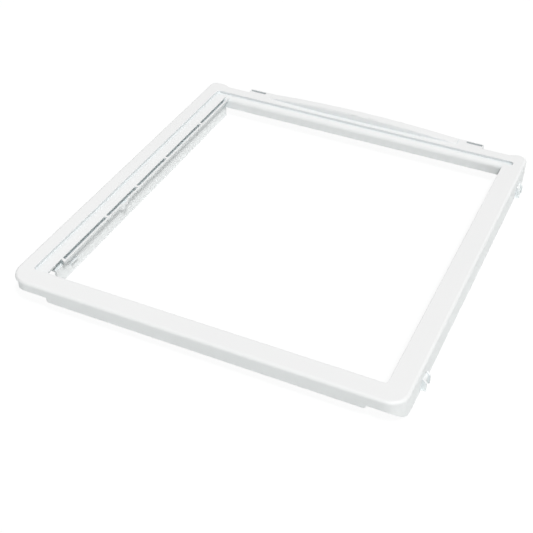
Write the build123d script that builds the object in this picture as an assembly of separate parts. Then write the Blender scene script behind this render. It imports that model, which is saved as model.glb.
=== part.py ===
from build123d import *
from math import atan, degrees, hypot
import os

# Moulded frame of a meat pan cover. A flat band runs round a sunk seat for the pane, with skirts below it.
# The left side has a sprung edge over a guide wall, the right side a deep wall with two pegs,
# and a crowned tab stands on the back edge. Millimetres, X to the right, Y to the back, Z up.
# The top of the band lies at z = 0 until the last step.

# Walls, and how far pieces run into each other or cuts run past a face
wall = 2.4
overlap = 0.3
clear = 1.0

# Top band
band_width = 402.0
band_depth = 438.8
edge_round = 3.0
edge_land = 0.4
corner_front_left = 21.0
corner_front_right = 18.0
corner_back_right = 10.0
corner_back_left = 8.0

# The back edge is set forward between the back corners
notch_depth = 4.0
notch_from_left = 17.0
notch_from_right = 12.0
notch_slope = 9.0
notch_round = 6.0

# Seat for the pane
seat_depth = 3.2
seat_corner = 4.0
seat_edge_round = 0.6
band_left = 15.7
band_right = 22.5
band_front = 22.2
band_back = 18.3
seat_run = 10.0

# Ledge round the opening
ledge_thickness = 2.2
ledge_left = 13.6
ledge_front = 3.0
ledge_back = 8.8
opening_corner = 3.0
back_round = 4.75

# Skirts and walls below the band
skirt_inset = 11.8
skirt_corner = 4.0
skirt_back_corner = 4.0
left_depth = 10.0
front_depth = 11.3
back_depth = 16.0
side_depth = 28.5
sweep_length = 36.0

# Lip below the middle of the front skirt
lip_drop = 4.0
lip_corner = 3.0
lip_from_left = 44.5
lip_from_right = 33.0

# Guide wall under the left ledge, with a channel behind the sprung edge
guide_front_gap = 15.0
guide_flare = 1.2
channel_width = 5.8
channel_height = 6.9
channel_lip = 0.8
stop_from_guide = 23.0
stop_length = 12.0
stop_height = 1.6
stop_out = 2.4
stop_above_foot = 10.3

# Sprung edge: a thin strip held off the left ledge by bridges, with one pointed detent
slot_width = 3.8
strip_width = 1.5
strip_thickness = 2.0
strip_front_gap = 22.5
link_skew = 5.5
bridge_width = 3.0
bridge_shares = (0.22, 0.395, 0.575, 0.81)
detent_base = 13.5
detent_out = 3.7

# Tab on the back edge, with a pocket at each end and a crowned ridge between, which bows up and forward
tab_length = 297.0
tab_reach = 6.7
tab_height = 10.0
tab_wall = 1.3
tab_corner = 1.5
pocket_length = 19.0
pocket_width = 3.7
crown_length = 275.0
crown_height = 7.0
crown_lean = 3.0
crown_depth = 13.0
crown_draft = 2.0
crown_round = 1.8
crown_wall = 2.0
core_round = 0.8

# Pegs on the right wall, each two plates with a lower web between them
peg_from_front = 55.7
peg_from_back = 44.8
peg_length = 13.0
peg_plate = 2.0
peg_out = 4.4
peg_height = 15.5
peg_shoulder = 9.5
peg_web_out = 2.4
peg_web_above_foot = 4.5

# Stiffening ribs under the band
rib = 1.8
front_ribs = 7
back_ribs = 7
right_ribs = 6
rib_drop = 4.0
gusset_drop = 15.5

band_thickness = edge_round + edge_land
seat_left = band_left
seat_right = band_width - band_right
seat_front = band_front
seat_back = band_depth - band_back
open_left = seat_left + ledge_left
open_front = seat_front + ledge_front
open_back = seat_back - ledge_back
guide_front = open_front + guide_front_gap
channel_left = open_left - channel_width
channel_top = -seat_depth - channel_lip
channel_floor = channel_top - channel_height
ledge_bottom = -seat_depth - ledge_thickness
right_inside = band_width - wall
back_edge = band_depth - notch_depth
back_inside = back_edge - wall
lip_right = band_width - lip_from_right
strip_front = open_front + strip_front_gap
slots_front = strip_front + link_skew
bridges = [slots_front + share * (open_back - slots_front) for share in bridge_shares]


def block(left, right, front, back, bottom, top):
    corner = (Align.MIN, Align.MIN, Align.MIN)
    return Pos(left, front, bottom) * Box(right - left, back - front, top - bottom, align=corner)


def rounded(face, places, radii):
    # Face with the corner nearest to each place rounded
    for place, radius in zip(places, radii):
        if radius > 0:
            face = fillet(face.vertices().sort_by_distance((*place, 0))[0], radius)
    return face


def outline(left, right, front, back, radii):
    # Rectangle with its own radius at each corner: front left, front right, back right, back left
    face = Pos((left + right) / 2, (front + back) / 2) * Rectangle(right - left, back - front)
    return rounded(face, ((left, front), (right, front), (right, back), (left, back)), radii)


def evenly(start, end, count):
    step = (end - start) / (count + 1)
    return [start + step * (i + 1) for i in range(count)]


def band_plan():
    radii = (corner_front_left, corner_front_right, corner_back_right, corner_back_left)
    plan = outline(0, band_width, 0, band_depth, radii)
    start = notch_from_left
    end = band_width - notch_from_right
    corners = ((start, band_depth), (start + notch_slope, back_edge),
               (end - notch_slope, back_edge), (end, band_depth))
    notch = make_face(Polyline((start, band_depth + clear), *corners, (end, band_depth + clear), close=True))
    return rounded(plan - notch, corners, [notch_round] * 4)


def seat_plan():
    # The back ledge runs on into the right side of the band
    plan = outline(seat_left, seat_right, seat_front, seat_back, [0] * 4)
    plan += outline(seat_left, seat_right + seat_run, open_back, seat_back, [0] * 4)
    return fillet(plan.vertices(), seat_corner)


def make_band():
    band = extrude(band_plan(), -band_thickness)
    band = fillet(band.edges().group_by(Axis.Z)[-1], edge_round)
    band -= extrude(seat_plan(), -band_thickness)
    rim = band.faces().sort_by(Axis.Z)[-1].inner_wires()[0]
    return fillet(rim.edges(), seat_edge_round)


def make_seat():
    # Floor of the seat, open in the middle, hung from the band by a riser
    seat = seat_plan()
    outside = offset(seat, wall)
    opening = outline(open_left, seat_right, open_front, open_back + back_round, [opening_corner] * 4)
    floor = extrude(Pos(0, 0, -seat_depth) * (outside - opening), -ledge_thickness)
    top = overlap - band_thickness
    riser = extrude(Pos(0, 0, top) * (outside - seat), ledge_bottom - top)
    return floor + riser


def make_skirt():
    radii = (skirt_corner, corner_front_right, corner_back_right, skirt_back_corner)
    plan = band_plan() & outline(skirt_inset, band_width, 0, band_depth, radii)
    ring = plan - offset(plan, -wall)
    top = overlap - band_thickness
    skirt = extrude(Pos(0, 0, top) * ring, -side_depth - top)

    # The left run is shallow and the back run deeper
    below = -side_depth - clear
    beyond = band_depth + clear
    skirt -= block(-clear, lip_from_left, -clear, beyond, below, -left_depth)
    corner = band_width - corner_back_right
    skirt -= block(lip_from_left, corner, back_inside - clear, beyond, below, -back_depth)

    # The lower edge of the right wall sweeps up to the front skirt
    sweep = TangentArc((sweep_length, -side_depth), (0, -front_depth), tangent=(-1, 0))
    under = Polyline(sweep @ 1, (-clear, -front_depth), (-clear, below), (sweep_length, below), sweep @ 0)
    skirt -= Pos(lip_from_left, 0, 0) * extrude(Plane.YZ * make_face(sweep + under), band_width)

    # Lip along the middle of the front
    lip = outline(lip_from_left, lip_right, -front_depth - lip_drop, -band_thickness, [lip_corner] * 4)
    return skirt + extrude(Plane.XZ * lip, -wall)


def make_guide():
    # Wall under the inner edge of the left ledge, flared towards its foot, with a stop near its front end
    back = open_back + wall
    foot = -side_depth
    top = ledge_bottom + overlap
    under = channel_floor - wall
    profile = make_face(Polyline((open_left, top), (channel_left - wall, top), (channel_left - wall, under),
                                 (open_left - wall, under), (open_left + guide_flare - wall, foot),
                                 (open_left + guide_flare, foot), (open_left, under), close=True))
    guide = Pos(0, guide_front, 0) * extrude(Plane.XZ * profile, guide_front - back)
    start = guide_front + stop_from_guide
    low = foot + stop_above_foot
    high = low + stop_height
    return guide + block(open_left - overlap, open_left + stop_out, start, start + stop_length, low, high)


def make_channel():
    # Hollow behind the slots, open at its front end
    start = guide_front - overlap
    return block(channel_left, open_left + clear, start, open_back, channel_floor, channel_top)


def make_strip():
    # Straight strip with a point that stands inward halfway between the first two bridges
    outer = open_left + slot_width
    inner = outer + strip_width
    strip_back = open_back + wall
    tip = (bridges[0] + bridges[1]) / 2
    near = tip - detent_base / 2
    far = tip + detent_base / 2
    inner_edge = ((inner, strip_front), (inner, near), (inner + detent_out, tip), (inner, far),
                  (inner, strip_back))
    outer_edge = ((outer, strip_back), (outer, far), (outer + detent_out, tip), (outer, near),
                  (outer, strip_front))
    strip = make_face(Polyline(*inner_edge, *outer_edge, close=True))

    # Bridges square across the slot, and one slanted link at the front end
    root = open_left - overlap
    reach = outer + overlap - root
    for place in bridges:
        strip += Pos(root + reach / 2, place) * Rectangle(reach, bridge_width)
    link = Polyline((root, slots_front), (root, slots_front - bridge_width), (inner, strip_front),
                    (inner, strip_front + bridge_width), close=True)
    strip += make_face(link)
    return extrude(Pos(0, 0, -seat_depth) * strip, -strip_thickness)


def make_inner_walls():
    # Back wall rounded over into the seat, and a low wall behind the front rail
    left = open_left - wall
    right = right_inside + overlap
    behind = seat_back + wall
    outside = outline(open_back, behind, -back_depth, -seat_depth, (0, 0, 0, back_round))
    inside = (open_back + wall, behind + clear, -back_depth - clear, -seat_depth - wall)
    section = outside - outline(*inside, (0, 0, 0, back_round - wall))
    back = Pos(left, 0, 0) * extrude(Plane.YZ * section, right - left)
    return back + block(left, right, open_front - wall, open_front, -front_depth, ledge_bottom + overlap)


def arched_bar(length, front, back, bottom, top, radius):
    # Bar bent to the shallow arch of the crown: its profile turned about a far axis that leans with the arch
    rise = hypot(crown_height, crown_lean)
    arch = (crown_length ** 2 / 4 + rise ** 2) / (2 * rise)
    middle = band_width / 2
    corners = ((back, top), (front + crown_draft, top))
    face = make_face(Polyline((front, bottom), (back, bottom), *corners, close=True))
    profile = Plane.YZ.offset(middle) * rounded(face, corners, [radius] * 2)
    centre = (middle, arch * crown_lean / rise, crown_height - arch * crown_height / rise)
    axis = Axis(centre, (0, crown_height, crown_lean))
    half = revolve(profile, axis, 2 * degrees(atan(2 * rise / crown_length)))
    bar = half + mirror(half, Plane.YZ.offset(middle))
    return bar & block(middle - length / 2, middle + length / 2, front, back + crown_lean, bottom, top)


def add_tab(frame):
    middle = band_width / 2
    tab_left = middle - tab_length / 2
    tab_right = middle + tab_length / 2
    tab_back = back_edge + tab_reach
    tab_front = back_edge - edge_round - clear
    plan = outline(tab_left, tab_right, tab_front, tab_back, (0, 0, tab_corner, tab_corner))
    frame += extrude(plan, -tab_height)

    # The crown ends level with the back of the tab
    crown_back = tab_back - overlap - crown_lean
    crown_front = crown_back - crown_depth
    frame += arched_bar(crown_length, crown_front, crown_back, -band_thickness, crown_height, crown_round)

    # Blind pockets at the ends
    pocket_back = tab_back - tab_wall
    pocket_front = pocket_back - pocket_width
    pocket_floor = tab_wall - tab_height
    for left in (tab_left + tab_wall, tab_right - tab_wall - pocket_length):
        frame -= block(left, left + pocket_length, pocket_front, pocket_back, pocket_floor, crown_height)

    # Between the pockets the tab and its crown are hollow from below, before and behind the skirt
    half = tab_length / 2 - pocket_length - 2 * tab_wall
    low = -tab_height - clear
    core = arched_bar(2 * half, crown_front + crown_wall, crown_back - crown_wall, low,
                      crown_height - crown_wall, core_round)
    core -= block(tab_left, tab_right, back_inside, back_edge, low - clear, crown_height)
    return frame - core - block(middle - half, middle + half, back_edge, pocket_back, low, -tab_wall)


def make_pegs():
    # Plates with a sloped shoulder, level with the foot of the wall
    root = right_inside + overlap
    foot = -side_depth
    edge = band_width + peg_out
    plate = make_face(Polyline((root, foot), (edge, foot), (edge, foot + peg_shoulder),
                               (root, foot + peg_height), close=True))
    web_edge = band_width + peg_web_out
    web_foot = foot + peg_web_above_foot
    web = make_face(Polyline((root, web_foot), (web_edge, web_foot), (web_edge, foot + peg_shoulder),
                             (root, foot + peg_height), close=True))
    side = extrude(Plane.XZ * plate, -peg_plate)
    peg = side + Pos(0, peg_length - peg_plate, 0) * side + extrude(Plane.XZ * web, -peg_length)
    return Pos(0, peg_from_front, 0) * peg + Pos(0, band_depth - peg_from_back, 0) * peg


def make_ribs():
    # Cross ribs in the front, back and left rails, and corner gussets along the right wall
    top = ledge_bottom + overlap
    under = overlap - band_thickness
    low = ledge_bottom - rib_drop
    ribs = Part()
    for x in evenly(lip_from_left, lip_right, front_ribs):
        ribs += block(x - rib / 2, x + rib / 2, wall - overlap, seat_front, low, under)
    for x in evenly(open_left, right_inside, back_ribs):
        ribs += block(x - rib / 2, x + rib / 2, seat_back, back_inside + overlap, low, under)
        ribs += block(x - rib / 2, x + rib / 2, open_back + wall - overlap, seat_back, low, top)
    for y in bridges:
        left = skirt_inset + wall - overlap
        ribs += block(left, channel_left - wall + overlap, y - rib / 2, y + rib / 2, low, top)
    outer = right_inside + overlap
    gusset = make_face(Polyline((seat_right + overlap, under), (outer, under), (outer, under - gusset_drop),
                                close=True))
    for y in evenly(open_front, open_back, right_ribs):
        ribs += Pos(0, y - rib / 2, 0) * extrude(Plane.XZ * gusset, -rib)
    return ribs


frame = make_band() + make_seat() + make_skirt() + make_guide() - make_channel()
frame += make_strip() + make_inner_walls()
frame = add_tab(frame) + make_pegs() + make_ribs()

box = frame.bounding_box()
cover_frame = Pos(-box.center().X, -box.center().Y, -box.min.Z) * frame
cover_frame.label = "cover_frame"

os.makedirs("parts", exist_ok=True)
export_step(cover_frame, "parts/cover_frame.step")
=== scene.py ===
import math

import bmesh
import bpy
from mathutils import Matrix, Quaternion, Vector

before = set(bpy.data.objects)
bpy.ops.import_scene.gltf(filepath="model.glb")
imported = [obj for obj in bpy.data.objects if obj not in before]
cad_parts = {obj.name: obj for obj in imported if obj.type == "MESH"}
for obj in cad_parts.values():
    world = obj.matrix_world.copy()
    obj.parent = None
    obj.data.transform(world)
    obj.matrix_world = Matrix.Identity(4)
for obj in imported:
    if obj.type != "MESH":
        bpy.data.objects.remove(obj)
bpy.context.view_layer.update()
print("frame loaded:", ", ".join(sorted(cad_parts)))


# small helpers for shader nodes
def addNode(tree, kind, **settings):
    node = tree.nodes.new(kind)
    for name, value in settings.items():
        setattr(node, name, value)
    return node


def link(tree, source, target):
    tree.links.new(source, target)


# white moulded plastic: clean satin skin, faint flow clouding, fine mould grain, painted shade darkening the
# recesses
plastic = {
    "colour": (0.884, 0.886, 0.884, 1.0),
    "cloudColour": (0.866, 0.870, 0.869, 1.0),
    "cloudScale": 9.0,       # clouds per metre
    "cloudDetail": 3.0,
    "grainScale": 1500.0,    # grains per metre
    "grainDetail": 2.0,
    "grainDepth": 0.00004,   # metres
    "grainStrength": 0.6,
    "edgeRadius": 0.0005,    # metres, the small rounding that a mould leaves
    "roughLow": 0.48,
    "roughHigh": 0.60,
    "gloss": 0.35,
    "ior": 1.5,
    # painted shade: the colour that slots and inner corners are darkened towards
    "paintedShadeColour": (0.775, 0.81, 0.82, 1.0),
    "paintedShadeReach": 0.015,    # metres out of a corner
    "paintedShadeDeep": 0.5,       # openness at which a recess has its full colour
}


def makePlastic():
    material = bpy.data.materials.new("whitePlastic")
    material.use_nodes = True
    tree = material.node_tree
    tree.nodes.clear()
    output = addNode(tree, "ShaderNodeOutputMaterial")
    shader = addNode(tree, "ShaderNodeBsdfPrincipled")
    shader.inputs["IOR"].default_value = plastic["ior"]
    shader.inputs["Specular IOR Level"].default_value = plastic["gloss"]
    link(tree, shader.outputs["BSDF"], output.inputs["Surface"])
    place = addNode(tree, "ShaderNodeTexCoord")

    # faint clouding of the colour where the melt flowed
    cloud = addNode(tree, "ShaderNodeTexNoise")
    cloud.inputs["Scale"].default_value = plastic["cloudScale"]
    cloud.inputs["Detail"].default_value = plastic["cloudDetail"]
    link(tree, place.outputs["Object"], cloud.inputs["Vector"])
    colour = addNode(tree, "ShaderNodeMix", data_type="RGBA")
    colour.inputs["A"].default_value = plastic["colour"]
    colour.inputs["B"].default_value = plastic["cloudColour"]
    link(tree, cloud.outputs["Fac"], colour.inputs["Factor"])

    # painted shade: slots and inner corners a little darker and cooler, set by an occlusion test
    paintedShadeOcclusion = addNode(tree, "ShaderNodeAmbientOcclusion", samples=8, only_local=True)
    paintedShadeOcclusion.inputs["Distance"].default_value = plastic["paintedShadeReach"]
    openness = addNode(tree, "ShaderNodeMapRange")
    openness.inputs["From Min"].default_value = plastic["paintedShadeDeep"]
    link(tree, paintedShadeOcclusion.outputs["AO"], openness.inputs["Value"])
    shaded = addNode(tree, "ShaderNodeMix", data_type="RGBA")
    shaded.inputs["A"].default_value = plastic["paintedShadeColour"]
    link(tree, openness.outputs["Result"], shaded.inputs["Factor"])
    link(tree, colour.outputs["Result"], shaded.inputs["B"])
    link(tree, shaded.outputs["Result"], shader.inputs["Base Color"])

    # fine mould grain over softened edges, and a gloss that varies with the clouding
    grain = addNode(tree, "ShaderNodeTexNoise")
    grain.inputs["Scale"].default_value = plastic["grainScale"]
    grain.inputs["Detail"].default_value = plastic["grainDetail"]
    link(tree, place.outputs["Object"], grain.inputs["Vector"])
    bump = addNode(tree, "ShaderNodeBump")
    bump.inputs["Distance"].default_value = plastic["grainDepth"]
    bump.inputs["Strength"].default_value = plastic["grainStrength"]
    link(tree, grain.outputs["Fac"], bump.inputs["Height"])
    edge = addNode(tree, "ShaderNodeBevel", samples=6)
    edge.inputs["Radius"].default_value = plastic["edgeRadius"]
    link(tree, edge.outputs["Normal"], bump.inputs["Normal"])
    link(tree, bump.outputs["Normal"], shader.inputs["Normal"])
    gloss = addNode(tree, "ShaderNodeMapRange")
    gloss.inputs["To Min"].default_value = plastic["roughLow"]
    gloss.inputs["To Max"].default_value = plastic["roughHigh"]
    link(tree, cloud.outputs["Fac"], gloss.inputs["Value"])
    link(tree, gloss.outputs["Result"], shader.inputs["Roughness"])
    return material


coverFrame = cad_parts["cover_frame"]
coverFrame.data.materials.clear()
coverFrame.data.materials.append(makePlastic())
print("plastic done")


# pale floor: white to the eye with a faint shadow of the object, a slightly cool card to scattered light
floorCard = {
    "size": 12.0,            # metres
    "colour": (0.843, 0.885, 0.881, 1.0),
    "glow": 0.945,
    "shadowShare": 0.08,
}


# 1 for rays that look at the background: straight on, mirrored or through glass
def lookingRay(tree):
    path = addNode(tree, "ShaderNodeLightPath")
    direct = addNode(tree, "ShaderNodeMath", operation="MAXIMUM")
    link(tree, path.outputs["Is Camera Ray"], direct.inputs[0])
    link(tree, path.outputs["Is Transmission Ray"], direct.inputs[1])
    looking = addNode(tree, "ShaderNodeMath", operation="MAXIMUM")
    link(tree, direct.outputs["Value"], looking.inputs[0])
    link(tree, path.outputs["Is Glossy Ray"], looking.inputs[1])
    return looking.outputs["Value"]


def makeFloor():
    shape = bmesh.new()
    bmesh.ops.create_grid(shape, x_segments=1, y_segments=1, size=floorCard["size"] / 2)
    mesh = bpy.data.meshes.new("floor")
    shape.to_mesh(mesh)
    shape.free()
    floor = bpy.data.objects.new("floor", mesh)
    bpy.context.scene.collection.objects.link(floor)
    material = bpy.data.materials.new("floorCard")
    material.use_nodes = True
    tree = material.node_tree
    tree.nodes.clear()
    output = addNode(tree, "ShaderNodeOutputMaterial")
    card = addNode(tree, "ShaderNodeBsdfDiffuse")
    card.inputs["Color"].default_value = floorCard["colour"]
    glow = addNode(tree, "ShaderNodeEmission")
    glow.inputs["Strength"].default_value = floorCard["glow"] / (1 - floorCard["shadowShare"])
    white = addNode(tree, "ShaderNodeMixShader")
    white.inputs["Fac"].default_value = floorCard["shadowShare"]
    link(tree, glow.outputs["Emission"], white.inputs[1])
    link(tree, card.outputs["BSDF"], white.inputs[2])
    pick = addNode(tree, "ShaderNodeMixShader")
    link(tree, lookingRay(tree), pick.inputs["Fac"])
    link(tree, card.outputs["BSDF"], pick.inputs[1])
    link(tree, white.outputs["Shader"], pick.inputs[2])
    link(tree, pick.outputs["Shader"], output.inputs["Surface"])
    mesh.materials.append(material)
    return floor


makeFloor()
print("floor done")


# soft studio light in a dim room: a far softbox high at the front right, weak ones low at back left and right
studio = {
    "roomLight": 0.135,
    "keySpot": (3.80, -3.44, 9.57),
    "keySize": 2.2,
    "keyPower": 1030.0,
    "fillSpot": (-3.74, 3.32, 3.32),
    "fillSize": 3.0,
    "fillPower": 50.0,
    "sideSpot": (6.0, -1.0, 3.0),
    "sideSize": 2.0,
    "sidePower": 17.0,
}


def addLamp(name, spot, size, power):
    data = bpy.data.lights.new(name, "AREA")
    data.shape = "DISK"
    data.size = size
    data.energy = power
    lamp = bpy.data.objects.new(name, data)
    bpy.context.scene.collection.objects.link(lamp)
    lamp.location = spot
    lamp.rotation_euler = (-Vector(spot)).to_track_quat("-Z", "Y").to_euler()


def makeStudio():
    scene = bpy.context.scene
    world = bpy.data.worlds.new("studioRoom")
    scene.world = world
    world.use_nodes = True
    tree = world.node_tree
    tree.nodes.clear()
    output = addNode(tree, "ShaderNodeOutputWorld")
    room = addNode(tree, "ShaderNodeBackground")
    room.inputs["Strength"].default_value = studio["roomLight"]
    white = addNode(tree, "ShaderNodeBackground")
    white.inputs["Color"].default_value = (1.0, 1.0, 1.0, 1.0)
    pick = addNode(tree, "ShaderNodeMixShader")
    link(tree, lookingRay(tree), pick.inputs["Fac"])
    link(tree, room.outputs["Background"], pick.inputs[1])
    link(tree, white.outputs["Background"], pick.inputs[2])
    link(tree, pick.outputs["Shader"], output.inputs["Surface"])
    addLamp("keyLamp", studio["keySpot"], studio["keySize"], studio["keyPower"])
    addLamp("fillLamp", studio["fillSpot"], studio["fillSize"], studio["fillPower"])
    addLamp("sideLamp", studio["sideSpot"], studio["sideSize"], studio["sidePower"])
    scene.view_settings.view_transform = "Standard"


makeStudio()
print("studio done")


# camera at the photo's viewing angle
photoCamera = {
    "spot": (0.3427, -0.8366, 0.6648),
    "target": (0.0010, -0.0637, 0.0),
    "roll": 1.34,            # degrees
    "lens": 71.04,           # millimetres
    "sensor": 36.0,          # millimetres
    "shift": (-0.0009, 0.0009),
}


def makeCamera():
    data = bpy.data.cameras.new("photoCamera")
    data.sensor_width = photoCamera["sensor"]
    data.lens = photoCamera["lens"]
    data.shift_x, data.shift_y = photoCamera["shift"]
    data.clip_start = 0.01
    camera = bpy.data.objects.new("photoCamera", data)
    bpy.context.scene.collection.objects.link(camera)
    aim = Vector(photoCamera["target"]) - Vector(photoCamera["spot"])
    turn = aim.to_track_quat("-Z", "Y") @ Quaternion((0, 0, 1), math.radians(photoCamera["roll"]))
    camera.location = photoCamera["spot"]
    camera.rotation_euler = turn.to_euler()
    bpy.context.scene.camera = camera


makeCamera()
print("camera done")
